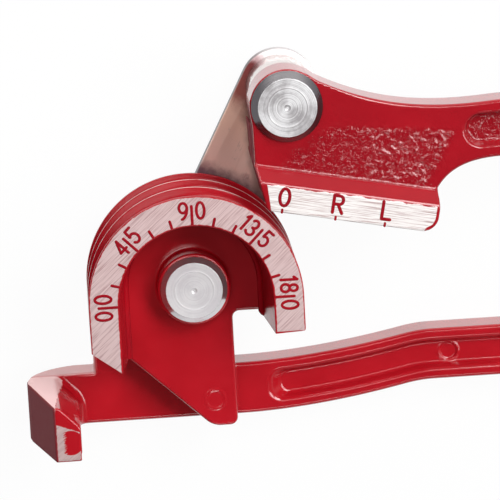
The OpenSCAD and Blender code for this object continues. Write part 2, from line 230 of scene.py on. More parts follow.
# Stage, in metres: the lamps with their places, sizes and levels, the room's light, floor and camera
AIM = (0.0, 0.0, 0.02)
LAMPS = {
    "softbox": ((0.504, 0.6, 0.93), (0.55, 0.6), 9.6),
    "fill": ((-0.2, 0.3, 1.15), (0.45, 0.45), 4.5),
    "right": ((0.66, 0.05, 0.88), (0.4, 0.4), 7.0),
    "back": ((-0.2, 0.78, 0.42), (0.5, 0.25), 7.0),
    "front": ((0.05, -0.5, 0.7), (0.25, 0.12), 6.0),
}
CEILING = 0.03
HORIZON = 0.45
FLOOR_HALF = 6.0
FLOOR_Z = -0.0002
CAMERA_AT = (-0.0266613, 0.1744605, 0.7888249)
CAMERA_TURN = (-12.0613, -3.6029, -2.9682)
LENS = 252.72


def add_piece(name, points, quads, body, replaced=(), ends=(), normals=None):
    """Mesh of quads and flat end faces, in metres, with the given normal at each point and flat ends.
    It rides on a body and stands for the CAD nodes that it replaces."""
    if normals is None:
        normals = area_normals(points, quads)
    corners = np.concatenate([quads.ravel(), *ends]).astype(np.int32)
    sizes = np.array([4]*len(quads) + [len(end) for end in ends])
    starts = np.concatenate([[0], np.cumsum(sizes)[:-1]]).astype(np.int32)
    mesh = bpy.data.meshes.new(name)
    mesh.vertices.add(len(points))
    mesh.vertices.foreach_set("co", (points*MM).astype(np.float32).ravel())
    mesh.loops.add(len(corners))
    mesh.loops.foreach_set("vertex_index", corners)
    mesh.polygons.add(len(sizes))
    mesh.polygons.foreach_set("loop_start", starts)
    mesh.polygons.foreach_set("use_smooth", np.ones(len(sizes), bool))
    mesh.update(calc_edges=True)
    flat = [np.broadcast_to(flat_normal(points[end]), (len(end), 3)) for end in ends]
    mesh.normals_split_custom_set(np.concatenate([normals[quads].reshape(-1, 3), *flat]).tolist())
    piece = bpy.data.objects.new(name, mesh)
    bpy.context.scene.collection.objects.link(piece)
    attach(piece, body)
    if replaced:
        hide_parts(*replaced)
    return piece


def flat_normal(loop):
    """Normal of a flat loop of points: the sum of the cross products of its sides."""
    normal = np.cross(loop, np.roll(loop, -1, axis=0)).sum(axis=0)
    return normal/np.linalg.norm(normal)


def area_normals(points, quads):
    """Normal at each point: the sum of the normals of its quads, each weighted by the quad's area,
    so that wide flat faces stay flat next to rounded edges."""
    a, b, c, d = (points[quads[:, i]] for i in range(4))
    cross = np.cross(c - a, d - b)
    shares = np.repeat(cross, 4, axis=0)
    normals = np.stack([np.bincount(quads.ravel(), share, len(points)) for share in shares.T], axis=1)
    return normals/np.maximum(np.linalg.norm(normals, axis=1, keepdims=True), 1e-12)


def grid_quads(rows, columns, closed):
    """Quads of a grid of points, row by row; a closed grid joins its last column to its first."""
    i, j = np.meshgrid(np.arange(rows - 1), np.arange(columns if closed else columns - 1), indexing="ij")
    right = (j + 1) % columns
    row, next_row = i*columns, (i + 1)*columns
    return np.stack([row + j, row + right, next_row + right, next_row + j], axis=-1).reshape(-1, 4)


def arc(centre, radius, start, end, steps=8):
    """Points of a circle's arc between two angles in degrees."""
    angle = np.radians(np.linspace(start, end, steps + 1))
    return np.stack([centre[0] + radius*np.cos(angle), centre[1] + radius*np.sin(angle)], axis=1)


def curve(a, b, c, d, steps=40):
    """Points of a curve of four control points."""
    t = np.linspace(0, 1, steps + 1)[:, None]
    s = 1 - t
    return s**3*np.array(a) + 3*s*s*t*np.array(b) + 3*s*t*t*np.array(c) + t**3*np.array(d)


# Solids as signed distances: negative inside, zero on the surface

def meet(a, b, r):
    """What lies in both solids; the edge where they meet is rounded to the radius r."""
    return np.minimum(np.maximum(a, b), -r) + np.hypot(np.maximum(a + r, 0), np.maximum(b + r, 0))


def join(a, b, r):
    """What lies in either solid; the corner where they meet is filled to the radius r."""
    return -meet(-a, -b, r)


def between(value, low, high):
    """Distance to a band between two levels."""
    return np.maximum(low - value, value - high)


def side(x, y, through, towards):
    """Distance to a half plane: beyond the line through a point, in the direction that it faces."""
    size = math.hypot(*towards)
    return ((x - through[0])*towards[0] + (y - through[1])*towards[1])/size


def smooth_step(t):
    """0 to 1 with level ends: t squared times 3 less 2 t."""
    t = np.clip(t, 0, 1)
    return t*t*(3 - 2*t)


def grain(x, y, scale):
    """Smooth noise from -1 to 1 over a plane: fixed scattered values at the corners of square cells, the
    fraction of a large multiple of a sine, blended with level ends across each cell."""
    i, j = np.floor(x*scale), np.floor(y*scale)
    s, t = smooth_step(x*scale - i), smooth_step(y*scale - j)

    def corner(a, b):
        """The scattered value at one corner of each cell."""
        return np.modf(np.sin((i + a)*127.1 + (j + b)*311.7)*43758.5453)[0]

    return (corner(0, 0)*(1 - s) + corner(1, 0)*s)*(1 - t) + (corner(0, 1)*(1 - s) + corner(1, 1)*s)*t


def outline_distance(x, y, corners):
    """Distance to a closed outline: the least distance to its sides, negative where a ray to the
    right crosses an odd number of them."""
    nearest = np.inf
    inside = False
    for (ax, ay), (bx, by) in zip(corners, np.roll(corners, -1, axis=0)):
        ex, ey = bx - ax, by - ay
        t = np.clip(((x - ax)*ex + (y - ay)*ey)/(ex*ex + ey*ey), 0, 1)
        nearest = np.minimum(nearest, np.hypot(x - ax - t*ex, y - ay - t*ey))
        inside = inside ^ (((ay > y) != (by > y)) & ((x - ax)*ey*np.sign(ey) < (y - ay)*ex*np.sign(ey)))
    return np.where(inside, -nearest, nearest)


def lattice(*runs):
    """Levels in runs of (from, to, step)."""
    return np.concatenate([np.arange(low, high, step) for low, high, step in runs])


def slope(solid, points, step=0.02):
    """Direction in which a distance grows, from differences to both sides along each axis."""
    shifts = step*np.eye(3)
    return np.stack([solid(*(points + s).T) - solid(*(points - s).T) for s in shifts], axis=1)/(2*step)


def skin(solid, runs):
    """Skin of a solid on a lattice of runs along each axis. Each cell that the surface crosses gets one
    point, the mean of the crossings of its edges, which is then moved along the slope onto the surface.
    Each crossed edge gives a quad between the four cells round it. Returns points, quads and normals."""
    levels = [lattice(*axis_runs) for axis_runs in runs]
    xs, ys, zs = levels
    field = solid(xs[:, None, None], ys[None, :, None], zs[None, None, :])
    field = np.broadcast_to(field, [len(level) for level in levels])
    inside = field < 0
    crossings, cells = [], []
    for axis in range(3):
        low = np.moveaxis(field, axis, 0)[:-1]
        high = np.moveaxis(field, axis, 0)[1:]
        turned = np.moveaxis(inside, axis, 0)
        hit = np.argwhere(turned[:-1] != turned[1:])
        a, b = low[tuple(hit.T)], high[tuple(hit.T)]
        leaving = turned[:-1][tuple(hit.T)]
        others = [k for k in range(3) if k != axis]
        edge = np.empty_like(hit)
        edge[:, axis] = hit[:, 0]
        edge[:, others[0]] = hit[:, 1]
        edge[:, others[1]] = hit[:, 2]
        place = np.stack([levels[k][edge[:, k]] for k in range(3)], axis=1)
        place[:, axis] += a/(a - b)*np.diff(levels[axis])[edge[:, axis]]
        u, v = np.eye(3, dtype=int)[(axis + 1) % 3], np.eye(3, dtype=int)[(axis + 2) % 3]
        ring = np.stack([edge, edge - u, edge - u - v, edge - v], axis=1)
        ring = np.where(leaving[:, None, None], ring, ring[:, ::-1])
        cells.append((ring[..., 0]*len(ys) + ring[..., 1])*len(zs) + ring[..., 2])
        crossings.append(place)
    cells = np.concatenate(cells)
    quads = np.unique(cells, return_inverse=True)[1].reshape(-1, 4)
    shared = np.repeat(np.concatenate(crossings), 4, axis=0)
    count = np.bincount(quads.ravel())
    points = np.stack([np.bincount(quads.ravel(), shared[:, k]) for k in range(3)], axis=1)/count[:, None]
    for _ in range(3):
        grow = slope(solid, points)
        size = np.maximum((grow**2).sum(axis=1), 0.2)
        points = points - np.clip(solid(*points.T)/size, -0.3, 0.3)[:, None]*grow
    normals = slope(solid, points)
    normals /= np.maximum(np.linalg.norm(normals, axis=1, keepdims=True), 1e-9)
    return points, quads, normals


# Wheel casting

def rim_section():
    """Section of the rim, as distance from the axis and level: pocket floor, a filleted and drafted
    wall, the ring face, then lands with round tips and the grooves between them, and the back."""
    draft = math.atan2(POCKET_R - FLOOR_R, FRONT_Z - WEB_Z)
    lean = math.degrees(draft)
    fillet, edge, tip = 0.7, 0.25, 0.33
    corner = (FLOOR_R + fillet*math.tan(draft) - fillet/math.cos(draft), WEB_Z + fillet)
    wall_top = FLOOR_R + (FRONT_Z - edge - WEB_Z)*math.tan(draft) + edge/math.cos(draft)
    front_land = GROOVES[0][0] + GROOVES[0][1] + edge
    parts = [np.array([[FLOOR_EDGE_R, BACK_Z + 0.5], [FLOOR_EDGE_R, WEB_Z + 0.01]]),
             arc(corner, fillet, -90, -lean, 10),
             arc((wall_top, FRONT_Z - edge), edge, 180 - lean, 90, 6),
             arc((BEND_R - edge, FRONT_Z - edge), edge, 90, 0, 6),
             arc((BEND_R - edge, front_land), edge, 0, -90, 6)]
    open_from = math.degrees(math.asin(edge/GROOVES[0][1]))
    for i, (level, radius) in enumerate(GROOVES):
        last = i == len(GROOVES) - 1
        open_to = math.degrees(math.asin((edge if last else tip)/radius))
        parts.append(arc((BEND_R, level), radius, 90 + open_from, 270 - open_to, 28))
        if not last:
            land = (level - radius + GROOVES[i + 1][0] + GROOVES[i + 1][1])/2
            parts.append(arc((BEND_R - tip, land), tip, 90, -90, 10)[1:-1])
            open_from = math.degrees(math.asin(tip/GROOVES[i + 1][1]))
    parts.append(arc((BEND_R - edge, GROOVES[-1][0] - GROOVES[-1][1] - edge), edge, 90, 0, 5))
    parts.append(arc((BEND_R - edge, BACK_Z + edge), edge, 0, -90, 5))
    parts.append(np.array([[FLOOR_EDGE_R, BACK_Z]]))
    return np.concatenate(parts)


def rim_sweep():
    """The rim's section carried up the leg, round the half wheel and down the arm. The leg ends on a
    slant, and the arm's end is rounded at its inner and outer corner."""
    section = rim_section()
    q, z = section.T
    round_r = 1.0
    leg = LEG_DROP + LEG_SLOPE*(BEND_R - np.maximum(q, FLOOR_R))
    near = np.clip(np.minimum(BEND_R - q, q - FLOOR_R + 0.8), 0, round_r)
    arm = ARM_DROP - round_r + np.sqrt(round_r**2 - (round_r - near)**2)
    down = np.linspace(0, 1, 9)[1:, None]
    angle = np.radians(np.linspace(180, 0, 97))[:, None]
    x = np.concatenate([-q + 0*down, np.cos(angle)*q, q + 0*down])
    y = np.concatenate([-leg*down[::-1], np.sin(angle)*q, -arm*down])
    points = np.stack([x, y, z + 0*x], axis=-1)
    rows, columns = x.shape
    quads = grid_quads(rows, columns, closed=True)[:, ::-1]
    first = np.arange(columns)
    last = (rows - 1)*columns + np.arange(columns)[::-1]
    return points.reshape(-1, 3), quads, (first, last)


def jog_share(x):
    """Share of the jog's rise at a place: a power of the distance from its start, with a short bend to
    level."""
    rise = np.maximum((x - JOG_START)/JOG_LENGTH, 0)**JOG_CURVE
    bend = np.maximum(1 - np.abs(rise - 1)/JOG_BEND, 0)
    return np.minimum(rise, 1) - bend*bend*JOG_BEND/4


def bar_side(x, y, inset):
    """Distance across the handle from its middle line, which rises over the jog; the far end is round. The
    inset narrows it."""
    share = jog_share(x)
    half = BAR_HALF + (GRIP_HALF - BAR_HALF)*share - inset
    return np.hypot(np.maximum(x - GRIP_END, 0), y - BAR_MID - JOG_RISE*share) - half


def pin_mark(x, y, at, lip, sunk):
    """Height of a round ejector mark: an uneven lip round a sunk disc."""
    off = np.hypot(x - at[0], y - at[1])
    edge = smooth_step(1 - np.abs(off - MARK_R)/0.6)*(0.65 + 0.35*grain(x + 7, y, 0.7))
    return lip*edge - sunk*smooth_step((MARK_R - off)/0.5)


def bar_recess(x, y, depth, floor=0.0):
    """Recess of the handle at a depth below its face: the handle's outline, inset by the flange and
    the walls' draft, with rounded corners, down to a floor that may be raised or sunk."""
    across = bar_side(x, y, FLANGE + DRAFT*depth)
    lead = RECESS_START + 0.9*depth - x
    return meet(meet(across, lead, 2.6), depth + floor - RECESS_DEPTH, 0.6)


def hook_prism(x, y, z):
    """The hook without its ends: a slanted outer face, a flat front, an upright inner face, a lead-in
    chamfer and the three tube grooves."""
    inner = x - HOOK_INNER
    slant = side(x, z, (HOOK_END, HOOK_ROUND), HOOK_FACING)
    chamfer = (inner + y - HOOK_TOP + HOOK_CHAMFER)/math.sqrt(2)
    prism = meet(meet(slant, z - HOOK_FRONT, 0.4), meet(inner, chamfer, 0.6), 0.4)
    for level, radius in GROOVES:
        prism = meet(prism, radius - np.hypot(x + BEND_R, z - level), 0.3)
    return prism


def handle_solid(x, y, z):
    """The handle with its neck and its hook. Hook and handle are one prism with a filled corner, cut to the
    handle's outline, which reaches lower at the hook, and to a round outer end. The hook's upper face lies
    a step below the handle's and leans down to its front. Each face of the handle has a drafted recess."""
    neck = meet(between(x, *NECK_X), between(y, *NECK_Y), 0.6)
    low = meet(between(y, HOOK_BOTTOM, BAR_MID), x - HOOK_INNER, 0.2)
    outline = join(join(bar_side(x, y, 0), neck, 0.4), low, 0.3)
    block = join(z - BAR_T, hook_prism(x, y, z), HOOK_FILLET)
    block = meet(block, meet(HOOK_END - x, -z, HOOK_ROUND), 0.8)
    block = meet(block, outline, 0.9 - 0.4*smooth_step((-25 - x)/4))
    above = z - BAR_T
    top = BAR_MID + BAR_HALF - HOOK_STEP*smooth_step((above - 0.2)/1.2) - HOOK_LEAN*np.maximum(above - 0.8, 0)
    block = meet(block, join(y - top, above - 0.3, 0.3), 0.5)
    block = meet(block, -bar_recess(x, y, BAR_T - z, pin_mark(x, y, GRIP_MARK, 0.25, 0.25)), 0.8)
    return meet(block, -bar_recess(x, y, z), 0.8)


def leg_solid(x, y, z):
    """The web with the leg and its foot, as one plate with the uneven lip of a round ejector mark, and the
    hub on it with a filled corner."""
    foot = meet(x - FOOT_CORNER[0], FOOT_CORNER[1] - y, 1.8)
    diagonal = side(x, y, *FOOT_SLANT)
    upper = meet(side(x, y, *LEG_EDGE), y - LEG_TOP, 0.5)
    upper = meet(upper, -WEB_R - 0.8 - x, 0.3)
    leg = meet(meet(foot, diagonal, 1.2), upper, 0.3)
    web = meet(np.hypot(x, np.maximum(y, 0)) - WEB_R, -WEB_DROP - y, 0.5)
    top = WEB_Z + pin_mark(x, y, FOOT_MARK, 0.1, 0.03)
    plate = meet(join(leg, web, 1.5), between(z, BACK_Z + 0.03, top), 0.6)
    hub = meet(np.hypot(x, y) - HUB_R, between(z, BACK_Z + 2.0, HUB_Z), 0.5)
    return join(plate, hub, 0.6)


def casting_solid(x, y, z):
    """Handle, hook and leg in one casting."""
    return join(handle_solid(x, y, z), leg_solid(x, y, z), 0.7)


# Lever

def along_grip(x, y):
    """Places along and across the lever's grip, from the waist."""
    dx, dy = x - WAIST[0], y - WAIST[1]
    turn, rise = math.cos(GRIP_ANGLE), math.sin(GRIP_ANGLE)
    return turn*dx + rise*dy, turn*dy - rise*dx


def cheek_outline():
    """Outline of the lever in front: up the eye's side, along a hollow to the grip, back along its
    underside to the shoe's toe, and along the shoe to the heel."""
    line = np.array([math.cos(GRIP_ANGLE), math.sin(GRIP_ANGLE)])
    across = LEVER_HALF*np.array([-line[1], line[0]])
    leave = (EYE_R - 0.2)*np.array([math.sin(EYE_LEAVE), math.cos(EYE_LEAVE)])
    hollow = curve(leave, *HOLLOW, WAIST + across + 2.5*line)
    underside = curve(WAIST - across + 2.5*line, WAIST - across - 5*line,
                      (SHOE_REACH + TOE_LEAN, -SHOE_TOP + 4.6), (SHOE_REACH - TOE_LEAN, -SHOE_TOP))
    return np.concatenate([[(0, 0)], hollow, [WAIST + across + 20*line, WAIST - across + 20*line], underside,
                           [(SHOE_REACH - TOE_LEAN, -STRIP_TOP), (STRIP_X, -STRIP_TOP), (CHEEK_X, -SHOE_TOP),
                            (0.2 - EYE_R, 0)]])


CHEEK = cheek_outline()


def lever_recess(x, y, depth):
    """Recess of the grip at a depth below its face: a slot that narrows with the walls' draft."""
    u, v = along_grip(x, y)
    wide = LEVER_HALF - FLANGE - DRAFT*depth
    slot = np.hypot(u - np.clip(u, LEVER_RECESS_LEAD, GRIP_REACH), v) - wide
    return meet(slot, depth - RECESS_DEPTH, 0.6)


def crinkle(x, y):
    """Uneven folds of a skin as cast: three noises, each turned another way and finer than the last, over
    coordinates that a slower noise pushes about."""
    px = x + 0.9*grain(x + 3, y - 8, 0.37)
    py = y + 0.9*grain(x - 41, y + 19, 0.41)
    total = 0
    for angle, scale, share in ((0.6, 0.62, 0.7), (1.5, 1.05, 0.9), (2.5, 1.55, 0.7)):
        turn, rise = math.cos(angle), math.sin(angle)
        total = total + share*grain(turn*px + rise*py + 50*angle, turn*py - rise*px, scale)
    return total


def cheek_wedge(x, y):
    """Distances into the folded wedge of the cheek from its left, right and upper edge, for arrays and for
    shader sockets alike."""
    left_x, left_y, left_lean = FOLDS_LEFT
    right_x, right_y, right_lean = FOLDS_RIGHT
    top_x, top_y, top_lean = FOLDS_TOP
    left = x - left_x - left_lean*(y - left_y)
    right = right_x + right_lean*(y - right_y) - x
    return left, right, top_y + top_lean*(x - top_x) - y


def cheek_folds(x, y):
    """Folds of the cheek's skin: high in a wedge over the shoe and low elsewhere."""
    left, right, under = cheek_wedge(x, y)
    wedge = smooth_step((left + 2 + 2*grain(x, y, 0.3))/5)*smooth_step(right/3)*smooth_step(under/2)
    wedge = wedge*smooth_step((y + SHOE_TOP + 0.2)/1.2)
    return (0.008 + (0.045 + 0.05*smooth_step((x - 10)/16))*wedge)*crinkle(x, y)


def shoe_solid(x, y, z):
    """The shoe: a block with a slanted heel and a round toe, a slope from its ground face to the cheek,
    and the three tube grooves."""
    toe = meet(x - SHOE_REACH, -SHOE_DROP - y, SHOE_CORNER)
    heel = side(x, y, (HEEL_X, -SHOE_DROP), HEEL_FACING)
    top = meet(y + SHOE_TOP, side(x, y, (SHOE_REACH, -STRIP_TOP), TOE_FACING), 0.4)
    block = meet(meet(toe, heel, 0.6), top, 0.4)
    block = meet(block, between(z, SHOE_BACK, FRONT_Z), 0.3)
    block = meet(block, side(y, z, (-STRIP_TOP, FRONT_Z), LEDGE_FACING), 0.35)
    for level, radius in GROOVES:
        block = meet(block, radius - np.hypot(y - SHOE_AXIS, z - level), 0.3)
    return block


def rib_solid(x, y, z):
    """Rib behind the cheek: along the shoe's heel, then along the cheek's left edge towards the eye."""
    heel = side(x, y, (HEEL_X + 0.1, -SHOE_DROP), HEEL_FACING)
    edge = side(x, y, (CHEEK_X + 0.1, -SHOE_TOP), CHEEK_FACING)
    outer = np.maximum(heel, edge)
    slab = meet(outer, -RIB - outer, 0.4)
    slab = meet(slab, between(y, -SHOE_DROP + 1, RIB_TOP), 0.4)
    slab = meet(slab, between(z, SHOE_BACK + 0.2, LEVER_BACK + 1), 0.4)
    return meet(slab, RIB_EYE_R - np.hypot(x, y), 0.4)


def lever_solid(x, y, z):
    """The lever: eye, cheek and grip as one plate with rounded edges and a recess on each face, the
    shoe below it, the rib behind it and the bore of its rivet."""
    u, v = along_grip(x, y)
    grip = np.hypot(u - np.clip(u, 10, GRIP_REACH), v) - LEVER_HALF
    outline = join(np.minimum(outline_distance(x, y, CHEEK), grip), np.hypot(x, y) - EYE_R, 0.8)
    front = LEVER_FRONT + cheek_folds(x, y)
    plate = meet(outline, between(z, LEVER_BACK, front), 0.35 + 0.45*smooth_step((x - 8)/10))
    floor = 0.07*crinkle(x, y)
    plate = meet(plate, -lever_recess(x, y, LEVER_FRONT + floor - z), 0.45)
    plate = meet(plate, -lever_recess(x, y, z - LEVER_BACK), 0.45)
    whole = join(join(plate, rib_solid(x, y, z), 0.6), shoe_solid(x, y, z), 0.6)
    return meet(whole, LEVER_BORE - np.hypot(x, y), 0.1)


def to_frame(points):
    """Directions along the lever's shoe as directions in the frame: turned by the shoe's angle."""
    turn, rise = math.cos(SHOE_ANGLE), math.sin(SHOE_ANGLE)
    x, y, z = points.T
    return np.stack([turn*x - rise*y, rise*x + turn*y, z], axis=1)


def at_lever(points):
    """Places drawn from the lever's rivet as places in the frame: turned, and moved to the rivet."""
    return to_frame(points) + np.array([*LEVER_AT, 0])


# Marks: every stroke is a list of points in a box one unit high, with its foot at zero

def line_stroke(*corners):
    """One stroke for each side of an open run of corners."""
    return [np.linspace(a, b, 9) for a, b in zip(corners[:-1], corners[1:])]


def oval(centre, wide, high, start=0, end=360):
    """One stroke along part of an ellipse, between two angles in degrees."""
    angle = np.radians(np.linspace(start, end, 33))
    return [np.stack([centre[0] + wide*np.cos(angle), centre[1] + high*np.sin(angle)], axis=1)]


GLYPHS = {
    "0": oval((0, 0.5), 0.28, 0.5),
    "1": line_stroke((-0.16, 0.8), (0.02, 1), (0.02, 0)),
    "3": oval((-0.03, 0.75), 0.25, 0.25, 150, -90) + oval((-0.03, 0.25), 0.29, 0.25, 90, -150),
    "4": line_stroke((0.12, 0), (0.12, 1), (-0.28, 0.3), (0.3, 0.3)),
    "5": line_stroke((0.24, 1), (-0.2, 1), (-0.24, 0.55)) + oval((-0.02, 0.31), 0.29, 0.31, 130, -145),
    "8": oval((0, 0.76), 0.23, 0.24) + oval((0, 0.26), 0.28, 0.26),
    "9": oval((0, 0.7), 0.28, 0.3) + oval((-0.17, 0.66), 0.45, 0.66, 5, -80),
    "R": line_stroke((-0.26, 0), (-0.26, 1), (0.04, 1)) + oval((0.04, 0.75), 0.24, 0.25, 90, -90)
         + line_stroke((0.04, 0.5), (-0.26, 0.5)) + line_stroke((0.0, 0.5), (0.28, 0)),
    "L": line_stroke((-0.22, 1), (-0.22, 0), (0.26, 0)),
}


def stroke_tubes(strokes, width, level):
    """Flattened tubes along strokes in a plane, of one width or of a width each. Each stroke is taken at even
    steps of its length; its section is a low ellipse, half sunk in the face, and shrinks to a point at both
    round ends."""
    half = np.broadcast_to(width, len(strokes))[:, None, None]/2
    stations, around, crown = 26, 8, 0.035
    share = np.linspace(0, 1, stations)
    cap = 4
    lines = []
    for stroke in strokes:
        length = np.concatenate([[0], np.cumsum(np.linalg.norm(np.diff(stroke, axis=0), axis=1))])
        lines.append(np.stack([np.interp(share*length[-1], length, stroke[:, k]) for k in range(2)], axis=1))
    lines = np.array(lines)
    along = np.gradient(lines, axis=1)
    along /= np.linalg.norm(along, axis=2, keepdims=True)
    turn = np.radians(np.linspace(90, 0, cap + 1))[:-1]
    start = lines[:, :1] - along[:, :1]*np.sin(turn)[None, :, None]*half
    finish = lines[:, -1:] + along[:, -1:]*np.sin(turn[::-1])[None, :, None]*half
    path = np.concatenate([start, lines, finish], axis=1)
    heading = [np.repeat(along[:, :1], cap, 1), along, np.repeat(along[:, -1:], cap, 1)]
    heading = np.concatenate(heading, axis=1)
    swell = np.concatenate([np.cos(turn), np.ones(stations), np.cos(turn[::-1])])
    across = np.stack([-heading[..., 1], heading[..., 0]], axis=-1)
    angle = np.linspace(0, 2*np.pi, around, endpoint=False)
    flat = path[:, :, None, :] + across[:, :, None, :]*(half*swell[:, None]*np.cos(angle))[..., None]
    height = np.broadcast_to(level + swell[:, None]*np.sin(angle)*crown, flat.shape[:3])
    points = np.concatenate([flat, height[..., None]], axis=-1)
    rows = path.shape[1]
    each = grid_quads(rows, around, closed=True)
    quads = (each[None] + (np.arange(len(strokes))*rows*around)[:, None, None]).reshape(-1, 4)
    return points.reshape(-1, 3), quads


def scale_strokes():
    """Strokes of the degree scale: a short tick every 15 degrees from the ring's inner edge, a long one
    every 45, and the number split by the long tick, with its top outwards."""
    strokes = []
    inner, long_tick, short_tick = POCKET_R + 0.5, 21.6, 19.1
    foot, height, narrow, advance, first = 18.75, 3.65, 0.85, 1.95, 1.9
    for reading in range(0, 181, 15):
        angle = math.radians(180 - reading)
        out = np.array([math.cos(angle), math.sin(angle)])
        right = np.array([out[1], -out[0]])
        end = short_tick if reading % 45 else long_tick
        strokes.append(np.linspace(inner, end, 9)[:, None]*out)
        if reading % 45 == 0:
            digits = str(reading) if reading else "00"
            places = [-first - advance, -first, first] if len(digits) == 3 else [-first, first]
            for digit, place in zip(digits, places):
                for s in GLYPHS[digit]:
                    strokes.append(out*(foot + height*s[:, 1:]) + right*(place + height*narrow*s[:, :1]))
    return strokes


def shoe_strokes():
    """Strokes of the shoe's 0, R and L, and of the small tick under each at the strip's edge, with their
    widths."""
    strokes, widths = [], []
    foot, height, tick = -21.55, 3.85, (-23.05, -22.45)
    for letter, place, under in (("0", 2.25, 2.1), ("R", 14.1, 14.0), ("L", 24.9, 25.0)):
        strokes += [np.array([place, foot]) + height*s for s in GLYPHS[letter]]
        strokes.append(np.stack([np.full(9, under), np.linspace(*tick, 9)], axis=1))
        widths += [LETTER_WIDTH]*len(GLYPHS[letter]) + [TICK_WIDTH]
    return strokes, widths


# Rivets and plates

def rivet_section(seat, head, face, height, tail_top):
    """Half section of a rivet, from the foot of its upset end to the dimple of its head, with small
    rounded edges."""
    edge, foot, rim = 0.15, 0.5, 0.3
    top = seat + height
    bevel = math.degrees(math.atan2(height - rim, head - face))
    return np.concatenate([
        [(0, 0)],
        arc((TAIL_R - foot, foot), foot, -90, 0, 6),
        arc((TAIL_R - edge, tail_top - edge), edge, 0, 90, 4),
        [(PIN_R, tail_top), (PIN_R, seat)],
        arc((head - edge, seat + edge), edge, -90, 0, 4),
        arc((head - edge, seat + rim), edge, 0, 90 - bevel, 4),
        arc((face - edge, top - edge), edge, 90 - bevel, 90, 4),
        [(0.75, top), (0.6, top - 0.04), (0.3, top - 0.22), (0, top - 0.28)]])


def turned(section, at):
    """A half section turned about an upright axis. Its first and last point lie on the axis."""
    steps = 96
    r, z = section[1:-1].T
    angle = np.linspace(0, 2*np.pi, steps, endpoint=False)
    x, y = at[0] + r[:, None]*np.cos(angle), at[1] + r[:, None]*np.sin(angle)
    points = np.stack([x, y, z[:, None] + 0*x], axis=-1).reshape(-1, 3)
    quads = grid_quads(len(r), steps, closed=True)
    rings = len(r)*steps
    foot = np.arange(steps)[::-1]
    top = rings - steps + np.arange(steps)
    return points, quads, (foot, top)


def softened(node, width):
    """A merged copy of a CAD node with its flat faces made whole and its edges bevelled by a few tenths."""
    source = frame["nodes"][node]
    mesh = source.data.copy()
    mesh.name = node + "_soft"
    work = bmesh.new()
    work.from_mesh(mesh)
    bmesh.ops.remove_doubles(work, verts=work.verts, dist=2e-6)
    bmesh.ops.dissolve_limit(work, angle_limit=math.radians(1), verts=work.verts, edges=work.edges)
    work.to_mesh(mesh)
    work.free()
    mesh.polygons.foreach_set("use_smooth", np.ones(len(mesh.polygons), bool))
    piece = bpy.data.objects.new(node + "_soft", mesh)
    bpy.context.scene.collection.objects.link(piece)
    bevel = piece.modifiers.new("edges", "BEVEL")
    bevel.width = width*MM
    bevel.segments = 3
    bevel.limit_method = "ANGLE"
    bevel.angle_limit = math.radians(40)
    bevel.harden_normals = True
    body = next(name for name, part in frame["record"]["behaviour"]["bodies"].items() if node in part)
    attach(piece, body)
    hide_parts(node)
    return piece


# Finishes

class Wire:
    """A shader socket that takes part in expressions: each operator adds a Math node."""

    def __init__(self, tree, socket=None):
        self.tree = tree
        self.socket = socket

    def node(self, kind, settings=None, values=None, output=0):
        """A node of a type, with its settings, then the values or links of its sockets."""
        made = self.tree.nodes.new(kind)
        for name, value in (settings or {}).items():
            setattr(made, name, value)
        for name, value in (values or {}).items():
            if isinstance(value, Wire):
                self.tree.links.new(value.socket, made.inputs[name])
            else:
                made.inputs[name].default_value = value
        return Wire(self.tree, None if output is None else made.outputs[output])

    def math(self, operation, *values):
        """A Math node of an operation on values or sockets."""
        return self.node("ShaderNodeMath", {"operation": operation}, dict(enumerate(values)))

    def __add__(self, other):
        return self.math("ADD", self, other)

    def __sub__(self, other):
        return self.math("SUBTRACT", self, other)

    def __rsub__(self, other):
        return self.math("SUBTRACT", other, self)

    def __mul__(self, other):
        return self.math("MULTIPLY", self, other)

    __radd__ = __add__
    __rmul__ = __mul__

    def root(self):
        """The square root."""
        return self.math("SQRT", self)

    def most(self, other):
        """The greater of two."""
        return self.math("MAXIMUM", self, other)

    def least(self, other):
        """The lesser of two."""
        return self.math("MINIMUM", self, other)

    def step(self, low, high):
        """0 below the low value and 1 above the high one, smooth between."""
        return self.node("ShaderNodeMapRange", {"interpolation_type": "SMOOTHSTEP"},
                         {"Value": self, "From Min": low, "From Max": high})

    def mix(self, first, second):
        """One colour where this is 0 and another where it is 1."""
        return self.node("ShaderNodeMix", {"data_type": "RGBA"}, {0: self, 6: first, 7: second}, 2)


